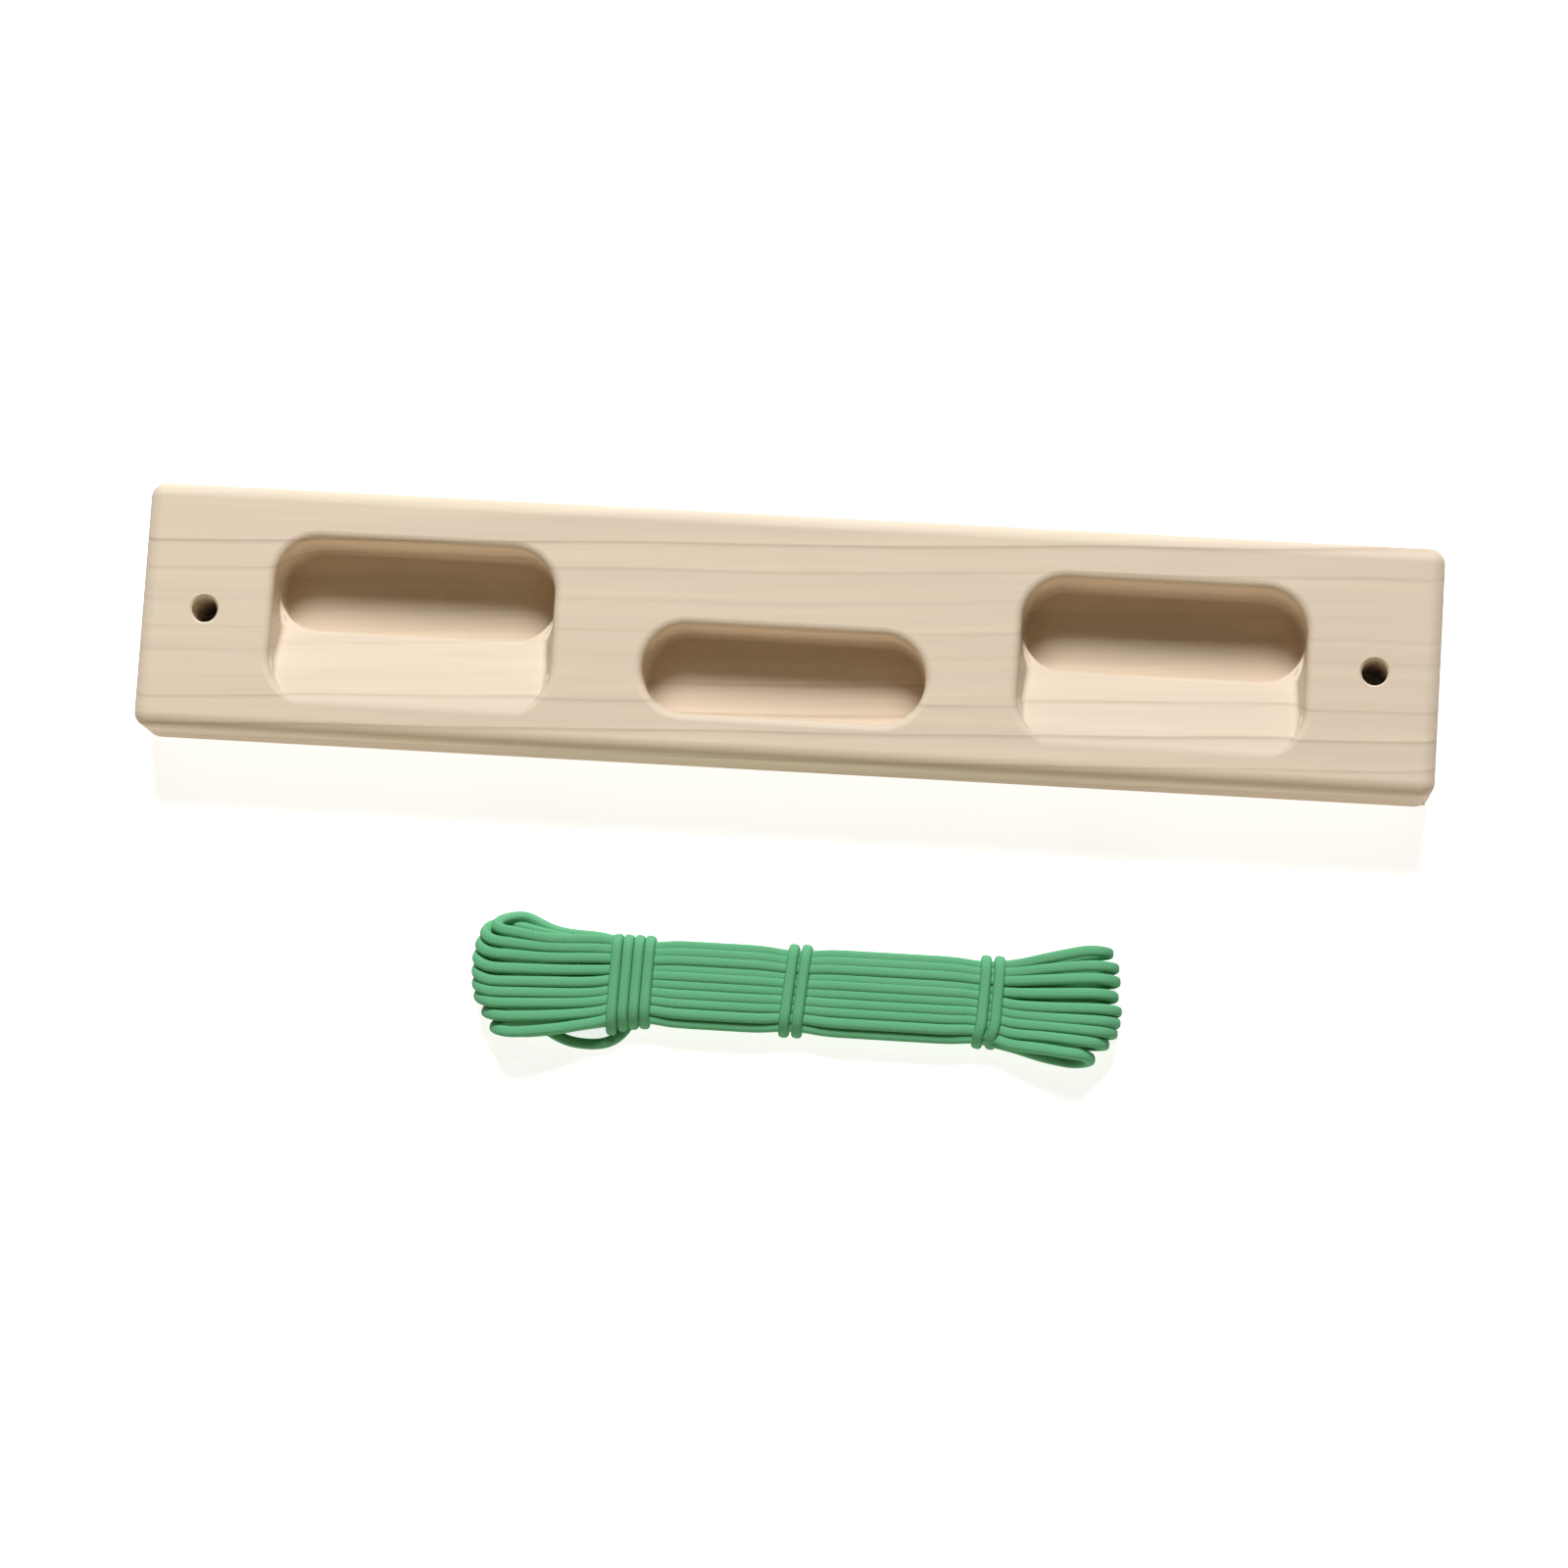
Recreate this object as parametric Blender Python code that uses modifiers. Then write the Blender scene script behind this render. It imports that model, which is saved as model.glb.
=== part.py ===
"""Portable climbing hangboard: one milled plank with three finger pockets, and its cord in a hank.

Metres, +Z up. The board lies on its flat back with its face up. The origin is the middle of the
back, +X runs along the board and +Y points to its top edge. The hank lies beside the lower edge.
"""
from math import cos, pi, radians, sin, tan

import bmesh
import bpy
import numpy as np

# Plank
BOARD_LENGTH = 0.500
BOARD_HEIGHT = 0.096
BOARD_THICKNESS = 0.038
EDGE_ROUND = 0.006
EDGE_STEPS = 5

# Finger pockets: the slots share one stadium outline, and the outer two open onto a ramp.
SLOT_LENGTH = 0.109
SLOT_HEIGHT = 0.034
SIDE_POCKET_X = 0.1445
SIDE_SLOT_Y = 0.0115
SIDE_SLOT_DEPTH = 0.028
CENTRE_SLOT_Y = -0.0145
CENTRE_SLOT_DEPTH = 0.024
RAMP_FOOT_Y = -0.0365
RAMP_SLOPE = radians(22.5)
MOUTH_ROUND = 0.0025
LIP_ROUND = 0.0020
FLOOR_FILLET = 0.0030
ARC_STEPS = 8
SIDE_STEPS = 3
ROUND_STEPS = 4

# A cutter's mouth starts clear of the face, a little wider than the rounded rim.
CUTTER_RISE = 0.003
CUTTER_FLARE = 0.00325
CUTTER_SHOULDER = 0.00015

# Cord holes, drilled right through
HOLE_DIAMETER = 0.010
HOLE_X = 0.225
HOLE_Y = -0.0015
HOLE_CHAMFER = 0.0008
HOLE_SIDES = 32

# Cord: turns that touch lie one cord apart, and the tube is drawn thinner to leave a gap.
CORD_DIAMETER = 0.0040
TUBE_DIAMETER = 0.00355
LEAST_GAP = 0.0004

# Hank: nine long loops side by side, drawn in to two rows at the waist, which takes a wider step.
# The waist's strands lie alternately a little high and low, so that they fit closer together.
HANK_CENTRE = (0.0109, -0.1324)
HANK_HALF_LENGTH = 0.1260
LOOPS = 9
WAIST_STEP = 0.0035
WAIST_MIDDLE = 4.0
ZIGZAG = 0.00104
ROW_STEP = 0.00413
FLOOR_Z = CORD_DIAMETER / 2 + 0.00002
LOW_ROW_Z = FLOOR_Z + ROW_STEP + ZIGZAG
TOP_ROW_Z = LOW_ROW_Z + ROW_STEP
END_BEND_RADIUS = 2 * CORD_DIAMETER
RUN_POINTS = 3
BEND_STEPS = 5
EASE_POWER = 0.85

# Each end of the hank: where the fan starts and its step, middle and stagger between the rows,
# and how far a loop's tip stays back with its distance from the longest loop.
LEFT_END = {"side": -1, "start": 0.073, "step": 0.00455, "middle": 2.9, "stagger": 1.5,
            "longest": 3.4, "recess": 0.00042}
RIGHT_END = {"side": 1, "start": 0.082, "step": 0.0048, "middle": 4.0, "stagger": 0.4,
             "longest": 3.6, "recess": 0.00035}
FIRST_RUN_START_X = -0.062
LAST_RUN_END_X = 0.076

# Windings of the same cord round the waist: first turn's place, step, lean and bow of their turns
LEFT_WINDING = {"turns": 4, "first_x": -0.0692, "step": 0.0043, "lean": 0.0002, "bow": 0.0}
MIDDLE_WINDING = {"turns": 2, "first_x": -0.0027, "step": 0.0050, "lean": 0.0010, "bow": 0.0}
RIGHT_WINDING = {"turns": 2, "first_x": 0.0730, "step": 0.0049, "lean": 0.0006, "bow": 0.0012}
CORNER_STEP = radians(30)
TAIL_OVERRUN = 0.012

# Side loop: the cord's tail, from under the left fan round to the left winding, along and across
SIDE_LOOP = [(-0.0960, -0.0212), (-0.0920, -0.0237), (-0.0876, -0.0254), (-0.0831, -0.0262),
             (-0.0787, -0.0260), (-0.0755, -0.0243), (-0.0738, -0.0208)]

WOOD_COLOUR = (0.66, 0.54, 0.41, 1.0)
CORD_COLOUR = (0.14, 0.45, 0.22, 1.0)


def clear_scene():
    for scene_object in list(bpy.data.objects):
        bpy.data.objects.remove(scene_object, do_unlink=True)


def new_collection(name):
    collection = bpy.data.collections.new(name)
    bpy.context.scene.collection.children.link(collection)
    return collection


def material(name, colour, roughness):
    made = bpy.data.materials.new(name)
    made.use_nodes = True
    shader = made.node_tree.nodes["Principled BSDF"]
    shader.inputs["Base Color"].default_value = colour
    shader.inputs["Roughness"].default_value = roughness
    shader.inputs["Metallic"].default_value = 0.0
    return made


def mesh_object(name, bm, collection):
    mesh = bpy.data.meshes.new(name)
    bm.to_mesh(mesh)
    bm.free()
    made = bpy.data.objects.new(name, mesh)
    collection.objects.link(made)
    return made


def mark_cutter(cutter):
    cutter.hide_render = True
    cutter.display_type = "WIRE"


def loft(name, rings, collection):
    """Closed solid through rings of equally many points, with a flat cap at each end."""
    bm = bmesh.new()
    loops = [[bm.verts.new(point) for point in ring] for ring in rings]
    count = len(rings[0])
    for lower, upper in zip(loops, loops[1:]):
        for i in range(count):
            j = (i + 1) % count
            bm.faces.new((lower[i], lower[j], upper[j], upper[i]))
    bm.faces.new(loops[0])
    bm.faces.new(loops[-1])
    bmesh.ops.remove_doubles(bm, verts=bm.verts, dist=2e-6)
    bmesh.ops.dissolve_degenerate(bm, edges=bm.edges, dist=2e-6)
    bmesh.ops.recalc_face_normals(bm, faces=bm.faces)
    return mesh_object(name, bm, collection)


def pocket_outline(slot_y, low_y, grow):
    """Slot outline, or the longer one with the same top whose foot is at low_y, grown outwards.

    Each half has a top corner, a straight side and a foot corner; on the plain slot the side has no
    length, and its points spread along the foot corner instead.
    """
    radius = SLOT_HEIGHT / 2
    corner_x = SLOT_LENGTH / 2 - radius
    reach = radius + grow
    foot_y = low_y + radius
    side_length = slot_y - foot_y
    half = []
    for i in range(ARC_STEPS + 1):
        angle = pi / 2 * (1 - i / ARC_STEPS)
        half.append((corner_x + reach * cos(angle), slot_y + reach * sin(angle)))
    for i in range(1, SIDE_STEPS + ARC_STEPS + 1):
        if side_length < 1e-6:
            angle = -pi / 2 * i / (SIDE_STEPS + ARC_STEPS)
        else:
            angle = -pi / 2 * max(i - SIDE_STEPS, 0) / ARC_STEPS
        down = side_length * min(i / SIDE_STEPS, 1.0)
        half.append((corner_x + reach * cos(angle), slot_y - down + reach * sin(angle)))
    return half + [(-x, y) for x, y in reversed(half)]


def ramp_height(y):
    """Height of the ramp, which meets the face at its foot and sinks towards the slot."""
    return BOARD_THICKNESS - (y - RAMP_FOOT_Y) * tan(RAMP_SLOPE)


def flat_ring(points, centre_x, z):
    return [(centre_x + x, y, z) for x, y in points]


def mouth_rings(slot_y, low_y, centre_x, has_ramp):
    """Rings of the rounded rim, from above the face down to the wall; the ramp cuts them short."""
    steps = [(CUTTER_FLARE, BOARD_THICKNESS + CUTTER_RISE),
             (CUTTER_FLARE, BOARD_THICKNESS + CUTTER_SHOULDER)]
    for i in range(ROUND_STEPS + 1):
        angle = radians(80) * (1 - i / ROUND_STEPS)
        steps.append((MOUTH_ROUND * (1 - cos(angle)), BOARD_THICKNESS - MOUTH_ROUND * (1 - sin(angle))))
    rings = []
    for number, (grow, z) in enumerate(steps):
        ring = flat_ring(pocket_outline(slot_y, low_y, grow), centre_x, z)
        if has_ramp and number > 0:
            ring = [(x, y, max(z, ramp_height(y))) for x, y, z in ring]
        rings.append(ring)
    return rings


def ramp_rings(slot_y, low_y, centre_x):
    """Rings from the foot of the outer wall across the ramp, over the slot's rounded lip."""
    outer = pocket_outline(slot_y, low_y, 0.0)
    slot = pocket_outline(slot_y, slot_y - SLOT_HEIGHT / 2, 0.0)
    grown = pocket_outline(slot_y, slot_y - SLOT_HEIGHT / 2, 1.0)
    room = [np.hypot(a[0] - b[0], a[1] - b[1]) for a, b in zip(outer, slot)]
    lips = [LIP_ROUND * min(space / (4 * LIP_ROUND), 1.0) for space in room]
    outward = [(b[0] - a[0], b[1] - a[1]) for a, b in zip(slot, grown)]
    rings = [[(centre_x + x, y, ramp_height(y)) for x, y in outer]]
    for i in range(3):
        angle = pi / 4 * i
        ring = []
        for (x, y), (u, v), lip in zip(slot, outward, lips):
            reach = lip * (1 - sin(angle))
            edge_y = y + v * reach
            drop = lip * (1 - cos(angle))
            ring.append((centre_x + x + u * reach, edge_y, ramp_height(edge_y) - drop))
        rings.append(ring)
    return rings


def slot_rings(slot_y, centre_x, depth):
    """Rings of the slot's foot: the wall, the fillet and the edge of the flat floor."""
    floor_z = BOARD_THICKNESS - depth
    rings = []
    for i in range(3):
        angle = pi / 4 * i
        inset = FLOOR_FILLET * (1 - cos(angle))
        points = pocket_outline(slot_y, slot_y - SLOT_HEIGHT / 2, -inset)
        rings.append(flat_ring(points, centre_x, floor_z + FLOOR_FILLET * (1 - sin(angle))))
    return rings


def pocket_cutter(name, centre_x, slot_y, depth, has_ramp, collection):
    low_y = slot_y - SLOT_HEIGHT / 2
    if has_ramp:
        low_y = RAMP_FOOT_Y + MOUTH_ROUND
    rings = mouth_rings(slot_y, low_y, centre_x, has_ramp)
    if has_ramp:
        rings += ramp_rings(slot_y, low_y, centre_x)
    rings += slot_rings(slot_y, centre_x, depth)
    cutter = loft(name, rings, collection)
    mark_cutter(cutter)
    return cutter


def hole_cutter(name, centre_x, collection):
    """Drill with a small chamfer at both faces: a profile turned round the hole's axis."""
    radius = HOLE_DIAMETER / 2
    wide = radius + HOLE_CHAMFER + CUTTER_RISE
    profile = [(0.0, BOARD_THICKNESS + CUTTER_RISE), (wide, BOARD_THICKNESS + CUTTER_RISE),
               (radius, BOARD_THICKNESS - HOLE_CHAMFER), (radius, HOLE_CHAMFER),
               (wide, -CUTTER_RISE), (0.0, -CUTTER_RISE)]
    bm = bmesh.new()
    verts = [bm.verts.new((x, 0.0, z)) for x, z in profile]
    for first, second in zip(verts, verts[1:]):
        bm.edges.new((first, second))
    cutter = mesh_object(name, bm, collection)
    screw = cutter.modifiers.new("turn", "SCREW")
    screw.axis = "Z"
    screw.steps = HOLE_SIDES
    screw.render_steps = HOLE_SIDES
    screw.use_merge_vertices = True
    screw.merge_threshold = 1e-5
    cutter.location = (centre_x, HOLE_Y, 0.0)
    mark_cutter(cutter)
    return cutter


def make_board(parts, cutters, wood):
    bpy.ops.mesh.primitive_cube_add(size=1.0, location=(0.0, 0.0, BOARD_THICKNESS / 2))
    board = bpy.context.object
    board.name = "board"
    board.data.name = "board"
    board.scale = (BOARD_LENGTH, BOARD_HEIGHT, BOARD_THICKNESS)
    bpy.ops.object.transform_apply(location=True, rotation=False, scale=True)
    for collection in list(board.users_collection):
        collection.objects.unlink(board)
    parts.objects.link(board)

    bevel = board.modifiers.new("edge_round", "BEVEL")
    bevel.width = EDGE_ROUND
    bevel.segments = EDGE_STEPS
    tools = [
        pocket_cutter("left_pocket_cutter", -SIDE_POCKET_X, SIDE_SLOT_Y, SIDE_SLOT_DEPTH, True, cutters),
        pocket_cutter("centre_pocket_cutter", 0.0, CENTRE_SLOT_Y, CENTRE_SLOT_DEPTH, False, cutters),
        pocket_cutter("right_pocket_cutter", SIDE_POCKET_X, SIDE_SLOT_Y, SIDE_SLOT_DEPTH, True, cutters),
        hole_cutter("left_hole_cutter", -HOLE_X, cutters),
        hole_cutter("right_hole_cutter", HOLE_X, cutters),
    ]
    for tool in tools:
        cut = board.modifiers.new(tool.name, "BOOLEAN")
        cut.operation = "DIFFERENCE"
        cut.solver = "EXACT"
        cut.object = tool
    board.data.materials.append(wood)
    return board


def ease(fraction):
    """Smooth step from 0 to 1, with a quicker start than finish, as a spreading bundle has."""
    held = min(max(fraction, 0.0), 1.0)
    return (held * held * (3 - 2 * held)) ** EASE_POWER


def bend_x(end, place):
    """Where the loop at a place stops running straight and its end bend starts."""
    recess = end["recess"] * (place - end["longest"]) ** 2
    return end["side"] * (HANK_HALF_LENGTH - CORD_DIAMETER / 2 - END_BEND_RADIUS - recess)


def spread(end, x, stop_x):
    """How far open the fan is at x: 0 at its start, 1 where the loop's end bend starts."""
    travelled = end["side"] * x - end["start"]
    return ease(travelled / (end["side"] * stop_x - end["start"]))


def strand_point(place, on_top, x, left_stop, right_stop):
    """Centre of a run at x: rows a step apart at the waist that open into a fan at each end."""
    end, stop = (LEFT_END, left_stop) if x < 0 else (RIGHT_END, right_stop)
    opened = spread(end, x, stop)
    step = WAIST_STEP + (end["step"] - WAIST_STEP) * opened
    middle = WAIST_MIDDLE + (end["middle"] - WAIST_MIDDLE) * opened
    wave = ZIGZAG * (1 - opened) * (1 if place % 2 == 0 else -1)
    if on_top:
        z = TOP_ROW_Z + (FLOOR_Z + 2 * END_BEND_RADIUS - TOP_ROW_Z) * opened + wave
        return (x, (middle - place) * step, z)
    z = LOW_ROW_Z + (FLOOR_Z - LOW_ROW_Z) * opened + wave
    return (x, (middle - place + end["stagger"] * opened) * step, z)


def run_stations(left_stop, right_stop):
    """Places along a run: both ends, points through each fan, and the ends of the straight waist."""
    stations = [left_stop]
    for i in range(1, RUN_POINTS + 1):
        stations.append(left_stop + (-LEFT_END["start"] - left_stop) * i / RUN_POINTS)
    for i in range(RUN_POINTS):
        stations.append(RIGHT_END["start"] + (right_stop - RIGHT_END["start"]) * i / RUN_POINTS)
    stations.append(right_stop)
    return stations


def end_bend(side, start, finish):
    """Half circle upright at the tip, leaning across from the run above to the run below it."""
    points = []
    for i in range(1, BEND_STEPS):
        angle = pi * i / BEND_STEPS
        part = (1 - cos(angle)) / 2
        across = start[1] + (finish[1] - start[1]) * part
        height = start[2] + (finish[2] - start[2]) * part
        along = start[0] + (finish[0] - start[0]) * part + side * END_BEND_RADIUS * sin(angle)
        points.append((along, across, height))
    return points


def hank_path():
    """One line through the hank: low run right, bend up, top run left, bend down, one step on.

    The first place is the low strand along the open side, and each loop lies one place further in.
    """
    points = []
    for loop in range(LOOPS + 1):
        place = LOOPS - loop
        left_stop = bend_x(LEFT_END, min(place, LOOPS - 1))
        right_stop = bend_x(RIGHT_END, max(place - 1, 0))
        stations = run_stations(left_stop, right_stop)
        if loop == 0:
            stations = [FIRST_RUN_START_X] + [x for x in stations if x > 0]
        if loop == LOOPS:
            stations = [x for x in stations if x < 0] + [LAST_RUN_END_X]
        low = [strand_point(place, False, x, left_stop, right_stop) for x in stations]
        if points:
            points += end_bend(-1, points[-1], low[0])
        points += low
        if loop == LOOPS:
            break
        top_left = bend_x(LEFT_END, place - 1)
        top_stations = run_stations(top_left, right_stop)
        top = [strand_point(place - 1, True, x, top_left, right_stop) for x in reversed(top_stations)]
        points += end_bend(1, points[-1], top[0])
        points += top
    return points


def winding_outline():
    """Corners of the waist's bundle, as (across, height), that a turn passes round at one step."""
    inner = WAIST_MIDDLE * WAIST_STEP
    outer_low = (WAIST_MIDDLE - LOOPS) * WAIST_STEP
    low = LOW_ROW_Z - ZIGZAG
    top = TOP_ROW_Z + ZIGZAG
    return [(outer_low, low), (inner, low), (inner, top), (outer_low + WAIST_STEP, top)]


def turn_line():
    """One turn round the bundle: straight across each face and round each corner, one step away."""
    corners = winding_outline()
    line = []
    for i, corner in enumerate(corners):
        before = corners[i - 1]
        after = corners[(i + 1) % len(corners)]
        entry = np.arctan2(corner[1] - before[1], corner[0] - before[0]) - pi / 2
        leave = np.arctan2(after[1] - corner[1], after[0] - corner[0]) - pi / 2
        sweep = (leave - entry) % (2 * pi)
        pieces = max(2, round(sweep / CORNER_STEP))
        for k in range(pieces + 1):
            angle = entry + sweep * k / pieces
            line.append((corner[0] + ROW_STEP * cos(angle), corner[1] + ROW_STEP * sin(angle)))
    lowest = min(z for _, z in line)
    on_floor = [i for i, (across, z) in enumerate(line) if z < lowest + 1e-6 and across > 0]
    start = on_floor[0]
    return line[start:] + line[:start]


def winding_path(winding, lead_in):
    """Turns round the waist; each steps along while it crosses below, where the bundle hides it.

    A turn starts where it comes out below the inner side. The line starts with the lead-in, or with
    its cut end half way across below, and its last end is tucked below the bundle.
    """
    line = turn_line()
    low_z = line[0][1]
    inner = winding_outline()[1][0]
    outer = winding_outline()[0][0]
    half = (inner - outer) / 2
    step = winding["step"]
    start_across = outer if lead_in else (inner + outer) / 2
    start_x = winding["first_x"] - step * (inner - start_across) / (2 * half)
    points = lead_in + [(start_x, start_across, low_z)]
    for turn in range(winding["turns"]):
        x = winding["first_x"] + step * turn
        for across, z in line:
            bow = winding["bow"] * max(cos(pi / 2 * across / half), 0.0) if z > TOP_ROW_Z else 0.0
            points.append((x + winding["lean"] * across / half + bow, across, z))
    last_x = winding["first_x"] + step * (winding["turns"] - 1) - winding["lean"]
    points.append((last_x + step * TAIL_OVERRUN / (2 * half), outer + TAIL_OVERRUN, low_z))
    return points


def to_world(points):
    """Moves points from the hank's own frame, with its middle at the origin, to beside the board."""
    return [(HANK_CENTRE[0] + along, HANK_CENTRE[1] + across, z) for along, across, z in points]


def evenly(points, step=0.001):
    """Points every step along a line, for measuring, with their places along it and its length."""
    line = np.array(points)
    lengths = np.linalg.norm(np.diff(line, axis=0), axis=1)
    travelled = np.concatenate([[0.0], np.cumsum(lengths)])
    stations = np.arange(0.0, travelled[-1], step)
    placed = [np.interp(stations, travelled, line[:, axis]) for axis in range(3)]
    return np.stack(placed, axis=1), stations, travelled[-1]


def least_gap(first, second, same):
    """Least space between two tubes along their lines, or between parts of one tube."""
    line_a, travel_a, _ = evenly(first)
    line_b, travel_b, _ = evenly(second)
    least = 1.0
    for point, travel in zip(line_a, travel_a):
        away = np.linalg.norm(line_b - point, axis=1)
        if same:
            away = away[np.abs(travel_b - travel) > 2.5 * CORD_DIAMETER]
        if len(away):
            least = min(least, float(away.min()))
    return least - TUBE_DIAMETER


def tube(name, points, parts, green):
    curve = bpy.data.curves.new(name, "CURVE")
    curve.dimensions = "3D"
    curve.bevel_depth = TUBE_DIAMETER / 2
    curve.bevel_resolution = 1
    curve.use_fill_caps = True
    spline = curve.splines.new("POLY")
    spline.points.add(len(points) - 1)
    for spline_point, point in zip(spline.points, points):
        spline_point.co = (*point, 1.0)
    spline.use_smooth = True
    made = bpy.data.objects.new(name, curve)
    parts.objects.link(made)
    curve.materials.append(green)
    return made


def make_cord(parts, green):
    side_loop = [(x, y, FLOOR_Z) for x, y in SIDE_LOOP]
    paths = {
        "cord_hank": to_world(hank_path()),
        "cord_left_winding": to_world(winding_path(LEFT_WINDING, side_loop)),
        "cord_middle_winding": to_world(winding_path(MIDDLE_WINDING, [])),
        "cord_right_winding": to_world(winding_path(RIGHT_WINDING, [])),
    }
    for name, path in paths.items():
        tube(name, path, parts, green)
        gap = least_gap(path, path, True)
        length = evenly(path)[2]
        print(f"{name}: {len(path)} points, {length:.3f} m, least gap to itself {gap * 1000:.2f} mm")
        if gap < LEAST_GAP:
            print(f"{name}: gap to itself is under {LEAST_GAP * 1000:.1f} mm")
        if name != "cord_hank":
            room = least_gap(path, paths["cord_hank"], False)
            print(f"{name}: least gap to the hank {room * 1000:.2f} mm")


def main():
    clear_scene()
    parts = new_collection("hangboard")
    cutters = new_collection("cutters")
    wood = material("pale_wood", WOOD_COLOUR, 0.55)
    green = material("green_cord", CORD_COLOUR, 0.75)
    make_board(parts, cutters, wood)
    make_cord(parts, green)


main()
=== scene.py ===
"""Portable climbing hangboard of pale wood, lying on its back beside its green cord in a hank."""
from math import cos, exp, pi, radians, sin, tan

import bmesh
import bpy
import numpy as np
from mathutils import Matrix, Vector


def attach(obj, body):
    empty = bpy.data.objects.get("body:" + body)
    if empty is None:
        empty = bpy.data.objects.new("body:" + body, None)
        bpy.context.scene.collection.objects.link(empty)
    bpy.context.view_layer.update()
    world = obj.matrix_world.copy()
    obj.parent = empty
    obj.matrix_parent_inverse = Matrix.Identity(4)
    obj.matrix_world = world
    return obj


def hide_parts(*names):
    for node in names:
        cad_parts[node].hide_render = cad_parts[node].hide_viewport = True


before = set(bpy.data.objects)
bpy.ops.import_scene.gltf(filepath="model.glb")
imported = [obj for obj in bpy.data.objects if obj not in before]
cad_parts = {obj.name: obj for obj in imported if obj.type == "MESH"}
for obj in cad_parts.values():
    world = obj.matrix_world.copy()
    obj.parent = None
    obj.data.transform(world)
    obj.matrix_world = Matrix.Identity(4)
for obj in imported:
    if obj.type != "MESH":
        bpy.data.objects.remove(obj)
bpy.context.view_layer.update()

# Lengths below the first count as none, and points nearer than the second are merged
NEARLY_ZERO = 1e-6
MERGE_DISTANCE = 2e-6

# Board, in metres: its sizes are those of the solids
BOARD_LENGTH = 0.500
BOARD_HEIGHT = 0.096
BOARD_THICKNESS = 0.038
EDGE_ROUND = 0.006
EDGE_STEPS = 12
SLOT_LENGTH = 0.109
SLOT_HEIGHT = 0.034
SIDE_POCKET_X = 0.1445
SIDE_SLOT_Y = 0.0115
SIDE_SLOT_DEPTH = 0.028
CENTRE_SLOT_Y = -0.0145
CENTRE_SLOT_DEPTH = 0.024
RAMP_FOOT_Y = -0.0365
RAMP_FOOT_MARGIN = 0.0025
RAMP_FOOT_EASE = 0.0015
RAMP_SLOPE = radians(22.5)

# Edges of a pocket, softer than in the solids: its rim, whose round starts just short of level with the
# face, the lip between ramp and slot, the draft and fillet of the ramp's side walls, and the floor's
# fillet. Beside the slot's round end, each takes at most a share of the room.
MOUTH_ROUND = 0.0034
RIM_START = radians(84)
LIP_ROUND = 0.0020
WALL_DRAFT = 0.27
RAMP_FILLET = 0.0025
FLOOR_FILLET = 0.0018
ROOM_SHARE = 0.25

# Steps of a pocket's arcs, straight sides and rounded edges, and the share of a quarter circle's drop
# over which a plain slot spreads its side's points
ARC_STEPS = 28
SIDE_STEPS = 12
SIDE_SHARE = 0.84
ROUND_STEPS = 8
FILLET_STEPS = 6

# A pocket's cutter starts clear of the face, and flares a little wider than the rounded rim
CUTTER_RISE = 0.003
CUTTER_FLARE = 0.0040
CUTTER_SHOULDER = 0.00015

# Holes, in metres, and how sharp an edge of the board has to be to stay one
HOLE_DIAMETER = 0.010
HOLE_X = 0.225
HOLE_Y = -0.0015
HOLE_CHAMFER = 0.0008
HOLE_SIDES = 72
BOARD_CREASE = radians(40)
FLAT_FACE_WEIGHT = 100

# Cord, in metres: the solids' hank, with its strands drawn thicker, and with ends and windings of its
# own. A recess is how far the end bend of each place stays back from the hank's end.
CORD_DIAMETER = 0.0040
TUBE_DIAMETER = 0.0042
HANK_CENTRE = (0.0109, -0.1324)
HANK_HALF_LENGTH = 0.1260
LOOPS = 9
ZIGZAG = 0.00104
ROW_STEP = 0.00413
FLOOR_GAP = 0.00002
FLOOR_Z = CORD_DIAMETER / 2 + FLOOR_GAP
LOW_ROW_Z = FLOOR_Z + ROW_STEP + ZIGZAG
TOP_ROW_Z = LOW_ROW_Z + ROW_STEP
END_BEND_RADIUS = 2 * CORD_DIAMETER
RUN_POINTS = 10
WAIST_POINTS = 48
BEND_STEPS = 14
EASE_POWER = 0.85
LEFT_END = {"side": -1, "start": 0.073, "recess": [
    0.0049, 0.0024, 0.0008, 0.0001, 0.0002, 0.0006, 0.0016, 0.0050, 0.0086]}
RIGHT_END = {"side": 1, "start": 0.082, "recess": [
    0.0045, 0.0020, 0.0012, 0.0017, 0.0001, 0.0004, 0.0013, 0.0042, 0.0094]}
FIRST_RUN_START_X = -0.112
LAST_RUN_END_X = 0.076

# Windings: the first turn's place along the hank and the step to the next, how far the turns lean and
# bow along it, and how far each one hangs out at its lower edge
LEFT_WINDING = {"first_x": -0.0701, "step": 0.0042, "lean": 0.0003, "bow": 0.0,
                "slack": [0.0031, 0.0014, 0.0004, 0.0]}
MIDDLE_WINDING = {"first_x": -0.0027, "step": 0.0050, "lean": 0.0010, "bow": 0.0, "slack": [0.0, 0.0]}
RIGHT_WINDING = {"first_x": 0.0716, "step": 0.0052, "lean": 0.0008, "bow": 0.0047, "slack": [0.0, 0.0]}
CORNER_STEP = radians(10)
TAIL_OVERRUN = 0.012

# Unlike the solids, which keep gaps, the soft cord is pressed together. At the waist each place
# has its own distance across and height.
WAIST_ACROSS = [0.0137, 0.0111, 0.0081, 0.0045, 0.0018, -0.0016, -0.0052, -0.0086, -0.0125, -0.0159]
WAIST_RISE = [-0.0006, 0.0, 0.0003, -0.0003, 0.0001, -0.0002, 0.0001, 0.0, -0.0001, 0.0018]

# A winding draws the bundle in by a share and its low and top rows down, less and less beside it. Its
# own line keeps a distance, the hug, from the strands at the bundle's corners.
DRAWN_SHARE = 0.08
DRAWN_DROP = 0.0011
DRAWN_TOP_DROP = 0.0019
DRAWN_REACH = 0.007
HUG = 0.0028

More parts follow.
